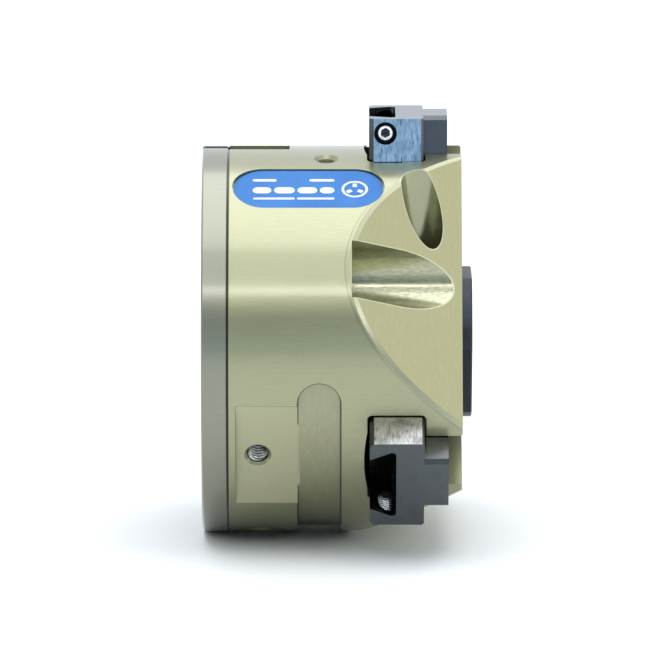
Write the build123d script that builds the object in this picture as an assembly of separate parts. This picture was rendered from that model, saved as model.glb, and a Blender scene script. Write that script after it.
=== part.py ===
from build123d import *
import os
from math import atan2, cos, degrees, isclose, radians, sin, tan

# A three-jaw centric pneumatic gripper. A piston slides along the gripper's axis and carries a
# wedge hook, whose three slanted T rails draw the three base jaws in and out together.
#
# Lengths are in millimetres. Every piece is modelled with the gripper's axis along +Z, the rear
# mounting face at Z 0 and the jaws towards +Z, with the jaws at their open stop. ROW_FRAME then
# lays the axis along the row's +X, with jaw 1 along the row's +Z.
#
# Inside each sector function the local X axis runs outward along that sector's own angle, Y
# runs sideways towards larger angles, and Z is the gripper's axis.

# How far a cutting tool runs past the surface that it opens
PAST = 3.0

# Housing
BODY_R = 37.5
COVER_T = 5.0
FRONT = 50.0
JAW_ANGLES = (90, 210, 330)
FACET_ANGLES = (150, 270, 30)
FACET_TILT = 30.0
FACET_FRONT_R = 25.2
EDGE_BREAK = 0.5
SMALL_BREAK = 0.3

# Cylinder chamber, and the web that closes it and guides the rod
BORE_R = 22.0
CHAMBER_END = 25.4
HOOK_POCKET = 30.1
CORE_BORE_R = 9.0
ROD_R = 7.0
ROD_GAP = 0.05
ROD_SEAL = (26.6, 29.2)
ROD_SEAL_R = 9.4

# Jaw guide: a wide flange runs in a deep slot, and a narrow neck reaches the front. The slot's
# mouth is a little larger than the slot.
FLANGE_HALF = 10.0
FLANGE_REAR = 32.2
FLANGE_FRONT = 42.6
FLANGE_REAR_BREAK = 0.8
FLANGE_FRONT_BREAK = 0.4
NECK_HALF = 5.8
NECK_FRONT = 47.25
NECK_END_BREAK = 0.8
JAW_END_R = 44.35
SLOT_HALF = 10.05
SLOT_REAR = 31.75
SLOT_FRONT = 42.65
SLOT_CORNER_R = 0.6
NECK_SLOT_HALF = 6.0
MOUTH_INNER = 34.4
MOUTH_HALF = 10.25
MOUTH_FRONT = 43.05
MOUTH_CORNER_R = 1.0
RELIEF_INNER = 20.0
RELIEF_HALF = 8.0
RELIEF_R = 38.5
RELIEF_DEPTH = 0.6
RAIL_POCKET_R = 25.5
RAIL_POCKET_HALF = 4.6

# Recess in the slot's wall that the set screw's hole in the jaw runs along
SCREW_RECESS_INNER = 31.0
SCREW_RECESS_Z = (33.1, 38.5)
SCREW_RECESS_DEPTH = 0.8

# Wedge: the jaws travel JAW_STROKE while the piston travels PISTON_STROKE
JAW_STROKE = 6.0
PISTON_STROKE = 8.0
WEDGE = JAW_STROKE / PISTON_STROKE
JAW_TIP_R = 13.5
LIP = 2.2
HEAD = 2.6
RAIL_HALF = 2.2
HEAD_HALF = 3.9
WEDGE_GAP = 0.08
WEB_OVERLAP = 0.5
HOOK_REAR = 38.3
HOOK_RAIL_FRONT = 46.3
HOOK_CORE_FRONT = 49.5
HOOK_CORE_R = 8.5

# Piston
PISTON_R = 21.95
PISTON_REAR = 15.85
PISTON_FRONT = 24.55
PISTON_BREAK = 0.4
SEAL_GROOVE_R = 19.6
PISTON_SEAL = (17.0, 19.6)
GUIDE_RING = (20.9, 23.3)
GUIDE_GROOVE_R = 20.4
GUIDE_SPLIT_HALF = 0.4

# Seals are slightly smaller than their grooves and bores
SEAL_GAP = 0.03
SEAL_END_GAP = 0.1
LIP_NOTCH = 0.7
ROD_LIP = (0.8, 1.4)
ROD_LIP_DEPTH = 1.0

# Mounting screws pass through the body and seat on the floor of an open trough
BOLT_CIRCLE_R = 32.0
BOLT_HOLE_R = 3.3
TROUGH_R = 5.8
TROUGH_FLOOR = 28.8

# Bores for cylindrical proximity switches, one beside each jaw
SENSOR_R = 4.0
SENSOR_SIDE = 17.5
SENSOR_Z = 42.3
SENSOR_INNER = 12.5

# Air ports, M5. Port A opens the chamber behind the piston, port B the one before it.
PORT_CORE_R = 2.1
PORT_MOUTH_R = 2.6
PORT_INNER = 27.5
PORT_A_ANGLE = 210
PORT_A_Z = 10.8
PORT_A_FLAT = 35.5
PORT_A_FLAT_Z = (6.5, 18.9)
PORT_B_ANGLE = 257
PORT_B_Z = 11.1
PORT_B_FACE = 35.9
PORT_B_FACE_R = 5.5
PASSAGE_R = 1.2
PASSAGE_CIRCLE_R = 28.5
PASSAGE_Z = 23.9
PASSAGE_MEET = 0.5

# Press-in plugs in the radial drillings, given by their depths below the surface
PLUG_ANGLES = (103.5, 257)
PLUG_R = 1.6
PLUG_MOUTH_R = 2.35
PLUG_SEAT = 4.5
PLUG_DEPTHS = (4.4, 1.3)
PLUG_DIMPLE_R = 0.7
PLUG_DIMPLE = 0.8

# Groove round the lower side, with round ends
GROOVE_Z = (18.4, 26.7)
GROOVE_FLOOR_R = 36.3
GROOVE_ANGLES = (184.5, 355.5)

# Alignment slots over jaw 1, in the housing and in the cover
KEY_HALF = 2.5
KEY_FLOOR = 36.2
KEY_END = 16.8
COVER_KEY_HALF = 1.3
COVER_KEY_FLOOR = 36.9

# Name plate
PLATE_ANGLE = 120
PLATE_Z = (5.85, 35.1)
PLATE_WIDTH = 12.0
PLATE_FLOOR = 36.5
PLATE_T = 0.3
PLATE_GAP = 0.25

# Rear cover and what fastens it
SPIGOT_R = 21.9
SPIGOT_END = 7.0
ORING_R = 0.52
ORING_GROOVE = (5.4, 6.6)
ORING_GROOVE_R = 20.9
COVER_SCREW_ANGLES = (0, 60, 120, 180, 240, 300)
COVER_SCREW_CIRCLE_R = 28.0
COVER_SCREW_LENGTH = 12.0
COVER_SCREW_SINK = 0.2
COVER_SCREW_HOLE_END = 14.0
DOWEL_ANGLES = (75, 315)
DOWEL_R = 1.5
DOWEL_Z = (1.5, 9.5)
PIN_BORE_ANGLES = (165, 345)
PIN_BORE_R = 2.5
PIN_BORE_DEPTH = 4.0
BUMPER_T = 0.8
BUMPER_RADII = (12.0, 18.0)

# Direct air ports in the rear face, each closed by a set screw
DIRECT_PORT_ANGLES = (103.5, 210)
DIRECT_PORT_THREAD_END = 3.6
DIRECT_PORT_SEAT_R = 2.6
DIRECT_PORT_SEAT = 0.7
DIRECT_SCREW_Z = (0.9, 3.4)

# Centre plate on the front face
CENTRE_R = 15.2
CENTRE_FLAT = 13.0
CENTRE_T = 2.1
CENTRE_BREAK = 0.25
CENTRE_SCREW_R = 11.6
CENTRE_SCREW_LENGTH = 6.5
CENTRE_SCREW_HOLE = 5.5
CENTRE_SCREW_GAP = 0.15

# Base jaw: switching cam groove with its set screw, and finger holes
CAM_MOUTH_HALF = 6.0
CAM_FLOOR_HALF = 8.25
CAM_DEPTH = 5.05
CAM_CORNER_R = 0.8
CAM_INNER_R = 33.0
SET_SCREW_R = 41.5
SET_SCREW_Z = 35.3
SET_SCREW_TIP = 4.9
SET_SCREW_HEAD = 9.1
SET_SCREW_THREAD_R = 1.5
SET_SCREW_SOCKET = 1.5
SET_SCREW_SOCKET_DEPTH = 1.5
SET_SCREW_MOUTH_R = 2.2
SET_SCREW_MOUTH_DEPTH = 1.0
FINGER_HOLE_RADII = (27.0, 39.0)
FINGER_CORE_R = 1.65
FINGER_DEPTH = 8.0
SLEEVE_R = 3.0
SLEEVE_DEPTH = 1.6

# Screw sizes: thread radius, head radius, head height, socket width across flats and its depth
M3 = {"thread": 1.5, "head": 2.75, "socket": 2.0}
M2_5 = {"thread": 1.25, "head": 2.35, "socket": 1.5}
M5_CAP = {"thread": 2.5, "head": 4.25, "head_t": 5.0, "socket": 4.0, "socket_t": 2.5}
THREAD_GAP = 0.02

# The hook's cap screw sits in a counterbore, a little below the hook's front
CAP_GAP = 0.3
CAP_HOLE_GAP = 0.2
HOOK_SCREW_LENGTH = 18.0
ROD_THREAD_END = 24.0

ROW_FRAME = Plane(origin=(0, 0, 0), x_dir=(0, 1, 0), z_dir=(1, 0, 0))


def sector(angle):
    """The plane whose X axis runs outward at that angle, with Z along the gripper's axis."""
    turn = radians(angle)
    return Plane(origin=(0, 0, 0), x_dir=(cos(turn), sin(turn), 0), z_dir=(0, 0, 1))


def block(x, y, z):
    """A box between three (low, high) pairs."""
    size = [high - low for low, high in (x, y, z)]
    middle = [(low + high) / 2 for low, high in (x, y, z)]
    return Pos(*middle) * Box(*size)


def post(radius, z, x=0.0, y=0.0):
    """A cylinder parallel to the gripper's axis between two heights."""
    return Pos(x, y, (z[0] + z[1]) / 2) * Cylinder(radius, z[1] - z[0])


def ring(outer, inner, z):
    """A ring round the gripper's axis."""
    return post(outer, z) - post(inner, z)


def drill(radius, x, z, y=0.0):
    """A cylinder along the local X axis, between two distances from the axis."""
    return Pos((x[0] + x[1]) / 2, y, z) * Rot(0, 90, 0) * Cylinder(radius, x[1] - x[0])


def prism(points, half_width):
    """A (distance, height) outline, extruded to both sides of the local XZ plane."""
    outline = Plane.XZ * make_face(Polyline(*points, close=True))
    return extrude(outline, half_width, both=True)


def one(shape):
    """The shape's single solid."""
    solids = shape.solids()
    if len(solids) != 1:
        raise ValueError(f"expected one solid, found {len(solids)}")
    return solids[0]


def hex_socket(width, z):
    """A hexagonal prism on the gripper's axis, of that width across flats."""
    outline = RegularPolygon(width / 2, 6, major_radius=False)
    return extrude(Pos(0, 0, z[0]) * outline, z[1] - z[0])


# --- Housing ---------------------------------------------------------------------------------


def facet_tool(angle, setback=0.0):
    """The material in front of one slanted facet, or of a plane that far behind it."""
    slope = tan(radians(FACET_TILT))
    front_r = FACET_FRONT_R - setback / cos(radians(FACET_TILT))
    far = 1.5 * BODY_R
    triangle = [
        (front_r - PAST * slope, FRONT + PAST),
        (far, FRONT + PAST),
        (far, FRONT - (far - front_r) / slope),
    ]
    return sector(angle) * prism(triangle, BODY_R + PAST)


def jaw_slot_tool(angle):
    """The T slot that guides one jaw, and the pocket behind it for the hook's rail."""
    out = BODY_R + PAST
    flange = block((0, out), (-SLOT_HALF, SLOT_HALF), (SLOT_REAR, SLOT_FRONT))
    flange = fillet(flange.edges().filter_by(Axis.X), SLOT_CORNER_R)
    mouth = block((MOUTH_INNER, out), (-MOUTH_HALF, MOUTH_HALF), (SLOT_REAR, MOUTH_FRONT))
    mouth = fillet(mouth.edges().filter_by(Axis.X), MOUTH_CORNER_R)
    neck_z = (SLOT_FRONT - SLOT_CORNER_R, FRONT + PAST)
    neck = block((0, out), (-NECK_SLOT_HALF, NECK_SLOT_HALF), neck_z)
    relief = drill(RELIEF_R, (RELIEF_INNER, out), SLOT_REAR - RELIEF_DEPTH + RELIEF_R)
    relief_z = (SLOT_REAR - PAST, SLOT_REAR + 2 * RELIEF_DEPTH)
    relief = relief & block((0, out + PAST), (-RELIEF_HALF, RELIEF_HALF), relief_z)
    pocket_z = (HOOK_POCKET, SLOT_REAR + 2 * RELIEF_DEPTH)
    pocket = block((0, RAIL_POCKET_R), (-RAIL_POCKET_HALF, RAIL_POCKET_HALF), pocket_z)
    recess_y = (SLOT_HALF - 1, SLOT_HALF + SCREW_RECESS_DEPTH)
    recess = block((SCREW_RECESS_INNER, out), recess_y, SCREW_RECESS_Z)
    return sector(angle) * (flange + mouth + neck + relief + pocket + recess)


def trough_tool(angle):
    """An open trough for a mounting screw's head, and the screw's hole."""
    z = (TROUGH_FLOOR, FRONT + PAST)
    trough = post(TROUGH_R, z, BOLT_CIRCLE_R)
    trough += block((BOLT_CIRCLE_R, BODY_R + PAST), (-TROUGH_R, TROUGH_R), z)
    hole = post(BOLT_HOLE_R, (0, TROUGH_FLOOR + 1), BOLT_CIRCLE_R)
    return sector(angle) * (trough + hole)


def sensor_tool(angle):
    """A bore beside one jaw, parallel to its travel."""
    return sector(angle) * drill(SENSOR_R, (SENSOR_INNER, BODY_R + PAST), SENSOR_Z, SENSOR_SIDE)


def countersunk(radius, mouth, x, z):
    """A radial hole ending at x[1] with a 45 degree chamfer at its mouth."""
    depth = mouth - radius
    cone = Pos(x[1] - depth / 2, 0, z) * Rot(0, 90, 0) * Cone(radius, mouth, depth)
    return drill(radius, (x[0], x[1] + PAST), z) + cone


def port_a_tool():
    """A flat with a threaded air port, and its passages to the rear chamber and the rear face."""
    flat = block((PORT_A_FLAT, BODY_R + PAST), (-BODY_R / 2, BODY_R / 2), PORT_A_FLAT_Z)
    hole = countersunk(PORT_CORE_R, PORT_MOUTH_R, (PORT_INNER, PORT_A_FLAT), PORT_A_Z)
    start = Vector(PORT_INNER + PASSAGE_MEET, 0, PORT_A_Z)
    end = Vector(BORE_R - PASSAGE_MEET, 0, SPIGOT_END + PASSAGE_MEET)
    run = end - start
    middle = (start + end) / 2
    lean = degrees(atan2(run.X, run.Z))
    passage = Pos(*middle) * Rot(0, lean, 0) * Cylinder(PASSAGE_R, run.length)
    from_rear = post(PASSAGE_R, (COVER_T - 1, PORT_A_Z), PASSAGE_CIRCLE_R)
    return sector(PORT_A_ANGLE) * (flat + hole + passage + from_rear)


def port_b_tool():
    """A round spot face with a threaded air port, and its passage to the front chamber."""
    face = drill(PORT_B_FACE_R, (PORT_B_FACE, BODY_R + PAST), PORT_B_Z)
    hole = countersunk(PORT_CORE_R, PORT_MOUTH_R, (PORT_INNER, PORT_B_FACE), PORT_B_Z)
    passage = post(PASSAGE_R, (PORT_B_Z, PASSAGE_Z), PASSAGE_CIRCLE_R)
    return sector(PORT_B_ANGLE) * (face + hole + passage)


def plugged_drilling_tool(angle, surface):
    """A radial drilling into the front chamber, wide enough at its mouth for a plug."""
    bore = drill(PASSAGE_R, (BORE_R - 1, surface), PASSAGE_Z)
    seat = countersunk(PLUG_R, PLUG_MOUTH_R, (surface - PLUG_SEAT, surface), PASSAGE_Z)
    return sector(angle) * (bore + seat)


def groove_tool():
    """The shallow groove round the lower side, with round ends."""
    low, high = GROOVE_Z
    half = (high - low) / 2
    middle = (low + high) / 2
    outer = BODY_R + PAST
    end_turn = degrees(half / BODY_R)
    first, last = GROOVE_ANGLES[0] + end_turn, GROOVE_ANGLES[1] - end_turn
    section = Pos((GROOVE_FLOOR_R + outer) / 2, middle) * Rectangle(outer - GROOVE_FLOOR_R, high - low)
    tool = Rot(0, 0, first) * revolve(Plane.XZ * section, Axis.Z, last - first)
    for angle in (first, last):
        tool += sector(angle) * drill(half, (GROOVE_FLOOR_R - PAST, outer), middle)
    return tool - post(GROOVE_FLOOR_R, (low - 1, high + 1))


def plate_outline(length, width, x):
    """A slot-shaped face that looks outward, at that distance from the axis."""
    middle = sum(PLATE_Z) / 2
    face_plane = Plane(origin=(x, 0, middle), x_dir=(0, 0, 1), z_dir=(1, 0, 0))
    return face_plane * SlotOverall(length, width)


def plate_recess_tool():
    """The recess for the name plate."""
    outline = plate_outline(PLATE_Z[1] - PLATE_Z[0], PLATE_WIDTH, PLATE_FLOOR)
    return sector(PLATE_ANGLE) * extrude(outline, PAST)


def cover_hole_tools(z, radius):
    """The holes for the cover screws."""
    return [
        sector(angle) * post(radius, z, COVER_SCREW_CIRCLE_R) for angle in COVER_SCREW_ANGLES
    ]


def dowel_tools(gap):
    """The holes for the two dowel pins, or the pins themselves."""
    z = (DOWEL_Z[0] - gap, DOWEL_Z[1] + gap)
    return [
        sector(angle) * post(DOWEL_R + gap, z, COVER_SCREW_CIRCLE_R) for angle in DOWEL_ANGLES
    ]


def housing():
    """The turned and milled body with its chamber, jaw slots, facets and bores."""
    body = post(BODY_R, (COVER_T, FRONT))
    body = chamfer(body.edges().group_by(Axis.Z)[0], SMALL_BREAK)
    for angle in FACET_ANGLES:
        body -= facet_tool(angle)
    body = chamfer(body.edges().filter_by(GeomType.ELLIPSE), EDGE_BREAK)
    rim = body.edges().group_by(Axis.Z)[-1].filter_by(GeomType.CIRCLE)
    body = chamfer(rim, SMALL_BREAK)
    tools = [
        post(BORE_R, (COVER_T - 1, CHAMBER_END)),
        post(ROD_R + ROD_GAP, (CHAMBER_END - 1, HOOK_POCKET + 1)),
        post(ROD_SEAL_R, ROD_SEAL),
        post(CORE_BORE_R, (HOOK_POCKET, FRONT + 1)),
        port_a_tool(),
        port_b_tool(),
        groove_tool(),
        plate_recess_tool(),
        sector(90) * block((KEY_FLOOR, BODY_R + 1), (-KEY_HALF, KEY_HALF), (COVER_T - 1, KEY_END)),
        plugged_drilling_tool(PLUG_ANGLES[0], BODY_R),
        plugged_drilling_tool(PLUG_ANGLES[1], GROOVE_FLOOR_R),
        sector(PLUG_ANGLES[0]) * post(PASSAGE_R, (COVER_T - 1, PASSAGE_Z), PASSAGE_CIRCLE_R),
    ]
    tools += [jaw_slot_tool(angle) for angle in JAW_ANGLES]
    tools += [trough_tool(angle) for angle in FACET_ANGLES]
    tools += [sensor_tool(angle) for angle in JAW_ANGLES]
    tools += cover_hole_tools((COVER_T - 1, COVER_SCREW_HOLE_END), M3["thread"] + THREAD_GAP)
    tools += dowel_tools(THREAD_GAP)
    screw_z = (FRONT - CENTRE_SCREW_HOLE, FRONT + 1)
    screw_hole = post(M2_5["thread"] + THREAD_GAP, screw_z, CENTRE_SCREW_R)
    tools += [sector(angle) * screw_hole for angle in FACET_ANGLES]
    for tool in tools:
        body -= tool
    return one(body)


# --- Rear cover ------------------------------------------------------------------------------


def countersink(screw, surface, direction):
    """The cone under a countersunk head, whose flat side lies at that height."""
    depth = screw["head"] - screw["thread"]
    wide_first = direction > 0
    radii = (screw["head"], screw["thread"]) if wide_first else (screw["thread"], screw["head"])
    middle = surface + depth / 2 if wide_first else surface - depth / 2
    return Pos(0, 0, middle) * Cone(*radii, depth)


def rear_cover():
    """The disc that closes the chamber and carries the mounting face."""
    cover = post(BODY_R, (0, COVER_T))
    cover = chamfer(cover.edges().group_by(Axis.Z)[-1], SMALL_BREAK)
    cover = chamfer(cover.edges().group_by(Axis.Z)[0], SMALL_BREAK)
    cover += post(SPIGOT_R, (COVER_T, SPIGOT_END))
    cover -= ring(SPIGOT_R + 1, ORING_GROOVE_R, ORING_GROOVE)
    mounting_hole = post(BOLT_HOLE_R, (-1, COVER_T + 1), BOLT_CIRCLE_R)
    tools = [sector(angle) * mounting_hole for angle in FACET_ANGLES]
    for angle in COVER_SCREW_ANGLES:
        hole = post(M3["thread"] + THREAD_GAP, (-1, COVER_T + 1))
        hole += countersink(M3, COVER_SCREW_SINK, 1)
        hole += post(M3["head"], (-1, COVER_SCREW_SINK))
        tools.append(sector(angle) * Pos(COVER_SCREW_CIRCLE_R, 0, 0) * hole)
    for angle in PIN_BORE_ANGLES:
        tools.append(sector(angle) * post(PIN_BORE_R, (-1, PIN_BORE_DEPTH), COVER_SCREW_CIRCLE_R))
    for angle in DIRECT_PORT_ANGLES:
        thread_z = (-1, DIRECT_PORT_THREAD_END)
        port = post(SET_SCREW_THREAD_R + THREAD_GAP, thread_z, PASSAGE_CIRCLE_R)
        port += post(PASSAGE_R, (0, COVER_T + 1), PASSAGE_CIRCLE_R)
        port += post(DIRECT_PORT_SEAT_R, (-1, DIRECT_PORT_SEAT), PASSAGE_CIRCLE_R)
        tools.append(sector(angle) * port)
    tools += dowel_tools(THREAD_GAP)
    key_x = (COVER_KEY_FLOOR, BODY_R + 1)
    key_y = (-COVER_KEY_HALF, COVER_KEY_HALF)
    tools.append(sector(90) * block(key_x, key_y, (-1, COVER_T + 1)))
    for tool in tools:
        cover -= tool
    return one(cover)


def countersunk_screw(screw, length, surface, direction):
    """A countersunk screw on the local axis, with a hexagon socket in its head."""
    tip = surface + direction * length
    shank = post(screw["thread"], (min(surface, tip), max(surface, tip)))
    body = shank + countersink(screw, surface, direction)
    depth = surface + direction * screw["thread"]
    return one(body - hex_socket(screw["socket"], (min(surface, depth), max(surface, depth))))


def grub_screw(z):
    """A set screw on the local axis with its socket at the low end."""
    body = post(SET_SCREW_THREAD_R, z)
    return one(body - hex_socket(SET_SCREW_SOCKET, (z[0], z[0] + SET_SCREW_SOCKET_DEPTH)))


def cover_screws():
    """Six countersunk screws that hold the rear cover."""
    screw = countersunk_screw(M3, COVER_SCREW_LENGTH, COVER_SCREW_SINK, 1)
    return [sector(angle) * Pos(COVER_SCREW_CIRCLE_R, 0, 0) * screw for angle in COVER_SCREW_ANGLES]


def direct_port_screws():
    """Set screws that close the two direct air ports in the rear face."""
    screw = Pos(PASSAGE_CIRCLE_R, 0, 0) * grub_screw(DIRECT_SCREW_Z)
    return [sector(angle) * screw for angle in DIRECT_PORT_ANGLES]


def cover_oring():
    """The ring that seals the cover's spigot in the bore."""
    middle = sum(ORING_GROOVE) / 2
    return Pos(0, 0, middle) * Torus(BORE_R - ORING_R - SEAL_GAP, ORING_R)


# --- Small parts fixed to the housing --------------------------------------------------------


def passage_plugs():
    """Press-in plugs that close the two radial drillings."""
    plugs = []
    for angle, surface in zip(PLUG_ANGLES, (BODY_R, GROOVE_FLOOR_R)):
        low, high = (surface - depth for depth in PLUG_DEPTHS)
        plug = drill(PLUG_R - THREAD_GAP, (low, high), PASSAGE_Z)
        dimple = drill(PLUG_DIMPLE_R, (high - PLUG_DIMPLE, surface), PASSAGE_Z)
        plugs.append(sector(angle) * one(plug - dimple))
    return plugs


def name_plate():
    """The thin plate in the recess above the facet."""
    length = PLATE_Z[1] - PLATE_Z[0] - 2 * PLATE_GAP
    outline = plate_outline(length, PLATE_WIDTH - 2 * PLATE_GAP, PLATE_FLOOR)
    plate = sector(PLATE_ANGLE) * extrude(outline, PLATE_T)
    nearest_facet = min(FACET_ANGLES, key=lambda angle: abs(angle - PLATE_ANGLE))
    return one(plate - facet_tool(nearest_facet, EDGE_BREAK))


def centre_plate():
    """The plate over the middle of the front face, cut flat opposite each jaw."""
    z = (FRONT, FRONT + CENTRE_T)
    plate = post(CENTRE_R, z)
    for angle in JAW_ANGLES:
        beyond = block((CENTRE_FLAT, CENTRE_R + 1), (-CENTRE_R, CENTRE_R), (z[0] - 1, z[1] + 1))
        plate -= sector(angle) * beyond
    plate = chamfer(plate.edges().group_by(Axis.Z)[-1], CENTRE_BREAK)
    for angle in FACET_ANGLES:
        hole = post(M2_5["thread"] + CENTRE_SCREW_GAP, (z[0] - 1, z[1] + 1))
        hole += countersink(M2_5, z[1], -1)
        plate -= sector(angle) * Pos(CENTRE_SCREW_R, 0, 0) * hole
    return one(plate)


def centre_plate_screws():
    """Three countersunk screws in the centre plate."""
    screw = countersunk_screw(M2_5, CENTRE_SCREW_LENGTH, FRONT + CENTRE_T, -1)
    return [sector(angle) * Pos(CENTRE_SCREW_R, 0, 0) * screw for angle in FACET_ANGLES]


def rod_seal():
    """The lip seal round the piston rod, in the web's groove."""
    low, high = ROD_SEAL
    seal_z = (low + SEAL_END_GAP, high - SEAL_END_GAP)
    seal = ring(ROD_SEAL_R - SEAL_GAP, ROD_R + SEAL_GAP, seal_z)
    inner, outer = (ROD_R + offset for offset in ROD_LIP)
    return one(seal - ring(outer, inner, (low, low + SEAL_END_GAP + ROD_LIP_DEPTH)))


def bumper(z):
    """A rubber ring that the piston lands on."""
    return ring(BUMPER_RADII[1], BUMPER_RADII[0], z)


# --- Piston and wedge hook -------------------------------------------------------------------


def piston():
    """The piston and its rod, threaded for the hook's screw."""
    body = post(PISTON_R, (PISTON_REAR, PISTON_FRONT))
    body = chamfer(body.edges().filter_by(GeomType.CIRCLE), PISTON_BREAK)
    body += post(ROD_R, (PISTON_FRONT, HOOK_REAR))
    body -= ring(PISTON_R + 1, SEAL_GROOVE_R, PISTON_SEAL)
    body -= ring(PISTON_R + 1, GUIDE_GROOVE_R, GUIDE_RING)
    body -= post(M5_CAP["thread"] + THREAD_GAP, (ROD_THREAD_END, HOOK_REAR + 1))
    return one(body)


def piston_seal():
    """The double-acting seal on the piston."""
    low, high = PISTON_SEAL
    seal_z = (low + SEAL_END_GAP, high - SEAL_END_GAP)
    seal = ring(BORE_R - SEAL_GAP, SEAL_GROOVE_R + SEAL_GAP, seal_z)
    notch_z = (seal_z[0] + LIP_NOTCH, seal_z[1] - LIP_NOTCH)
    return one(seal - ring(BORE_R + 1, BORE_R - LIP_NOTCH, notch_z))


def piston_guide_ring():
    """The split guide ring on the piston."""
    low, high = GUIDE_RING
    band_z = (low + SEAL_END_GAP, high - SEAL_END_GAP)
    band = ring(BORE_R - SEAL_GAP, GUIDE_GROOVE_R + SEAL_GAP, band_z)
    split = block((0, BORE_R + 1), (-GUIDE_SPLIT_HALF, GUIDE_SPLIT_HALF), (low - 1, high + 1))
    return one(band - split)


def jaw_inner(z):
    """How far from the axis the jaw's slanted inner end lies at that height."""
    return JAW_TIP_R + (NECK_FRONT - z) * WEDGE


def slanted(low, high, z, half_width):
    """A slab between two offsets outward from the jaw's slanted inner end."""
    points = [
        (jaw_inner(z[0]) + low, z[0]),
        (jaw_inner(z[0]) + high, z[0]),
        (jaw_inner(z[1]) + high, z[1]),
        (jaw_inner(z[1]) + low, z[1]),
    ]
    return prism(points, half_width)


def hook_rail():
    """One slanted T rail: a web from the core and a wider head."""
    z = (HOOK_REAR, HOOK_RAIL_FRONT)
    web = prism(
        [
            (0, z[0]),
            (jaw_inner(z[0]) + LIP + WEB_OVERLAP, z[0]),
            (jaw_inner(z[1]) + LIP + WEB_OVERLAP, z[1]),
            (0, z[1]),
        ],
        RAIL_HALF,
    )
    return web + slanted(LIP, LIP + HEAD, z, HEAD_HALF)


def cap_seat():
    """The height that the cap screw's head seats at."""
    return HOOK_CORE_FRONT - M5_CAP["head_t"] - CAP_GAP


def wedge_hook():
    """The hook that the piston moves, with one rail for each jaw."""
    body = post(HOOK_CORE_R, (HOOK_REAR, HOOK_CORE_FRONT))
    for angle in JAW_ANGLES:
        body += sector(angle) * hook_rail()
    body -= post(M5_CAP["thread"] + CAP_HOLE_GAP, (HOOK_REAR - 1, HOOK_CORE_FRONT))
    body -= post(M5_CAP["head"] + CAP_GAP, (cap_seat(), HOOK_CORE_FRONT + 1))
    return one(body)


def hook_screw():
    """The cap screw that holds the hook on the piston rod."""
    seat = cap_seat()
    top = seat + M5_CAP["head_t"]
    body = post(M5_CAP["head"], (seat, top))
    body += post(M5_CAP["thread"], (seat - HOOK_SCREW_LENGTH, seat))
    return one(body - hex_socket(M5_CAP["socket"], (top - M5_CAP["socket_t"], top)))


# --- Base jaws -------------------------------------------------------------------------------


def jaw_profile():
    """The jaw's cross-section, seen along its travel: a wide flange under a narrow neck."""
    half = [
        (FLANGE_HALF - FLANGE_REAR_BREAK, FLANGE_REAR),
        (FLANGE_HALF, FLANGE_REAR + FLANGE_REAR_BREAK),
        (FLANGE_HALF, FLANGE_FRONT - FLANGE_FRONT_BREAK),
        (FLANGE_HALF - FLANGE_FRONT_BREAK, FLANGE_FRONT),
        (NECK_HALF, FLANGE_FRONT),
        (NECK_HALF, NECK_FRONT),
    ]
    mirrored = [(-y, z) for y, z in reversed(half)]
    return make_face(Plane.YZ * Polyline(*half, *mirrored, close=True))


def cam_groove_tool():
    """The dovetail groove for a switching cam, open at the jaw's outer end and rear."""
    lean = (CAM_FLOOR_HALF - CAM_MOUTH_HALF) / CAM_DEPTH
    outline = [
        (-CAM_MOUTH_HALF + lean, FLANGE_REAR - 1),
        (CAM_MOUTH_HALF - lean, FLANGE_REAR - 1),
        (CAM_FLOOR_HALF, FLANGE_REAR + CAM_DEPTH),
        (-CAM_FLOOR_HALF, FLANGE_REAR + CAM_DEPTH),
    ]
    face = Pos(CAM_INNER_R, 0, 0) * (Plane.YZ * make_face(Polyline(*outline, close=True)))
    groove = extrude(face, JAW_END_R - CAM_INNER_R + 1)
    floor_edges = groove.edges().filter_by(Axis.X).group_by(Axis.Z)[-1]
    return fillet(floor_edges, CAM_CORNER_R)


def set_screw_hole():
    """The threaded hole and its recess, from the jaw's side into the cam groove."""
    across = Pos(SET_SCREW_R, 0, SET_SCREW_Z) * Rot(-90, 0, 0)
    thread = post(SET_SCREW_THREAD_R + THREAD_GAP, (CAM_MOUTH_HALF - PAST, FLANGE_HALF + 1))
    mouth = post(SET_SCREW_MOUTH_R, (FLANGE_HALF - SET_SCREW_MOUTH_DEPTH, FLANGE_HALF + 1))
    return across * (thread + mouth)


def base_jaw():
    """A base jaw in its own sector, at the open stop."""
    body = extrude(jaw_profile(), JAW_END_R)
    end = body.faces().sort_by(Axis.X)[-1]
    neck_middle = (FLANGE_FRONT + NECK_FRONT) / 2
    neck_ends = [
        edge for edge in end.edges() if isclose(edge.center().Z, neck_middle, abs_tol=0.01)
    ]
    body = chamfer(neck_ends, NECK_END_BREAK)
    through = (FLANGE_REAR - 1, NECK_FRONT + 1)
    inner = [
        (-1, through[0]),
        (jaw_inner(through[0]), through[0]),
        (jaw_inner(through[1]), through[1]),
        (-1, through[1]),
    ]
    body -= prism(inner, FLANGE_HALF + 1)
    body -= slanted(-1, LIP + WEB_OVERLAP, through, RAIL_HALF + WEDGE_GAP)
    body -= slanted(LIP - WEDGE_GAP, LIP + HEAD + WEDGE_GAP, through, HEAD_HALF + WEDGE_GAP)
    body -= cam_groove_tool()
    body -= set_screw_hole()
    for radius in FINGER_HOLE_RADII:
        body -= post(FINGER_CORE_R, (NECK_FRONT - FINGER_DEPTH, NECK_FRONT + 1), radius)
        body -= post(SLEEVE_R, (NECK_FRONT - SLEEVE_DEPTH, NECK_FRONT + 1), radius)
    return one(body)


def set_screw():
    """The set screw that clamps a switching cam, socket outward."""
    screw = grub_screw((-SET_SCREW_HEAD, -SET_SCREW_TIP))
    return Pos(SET_SCREW_R, 0, SET_SCREW_Z) * Rot(90, 0, 0) * screw


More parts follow.
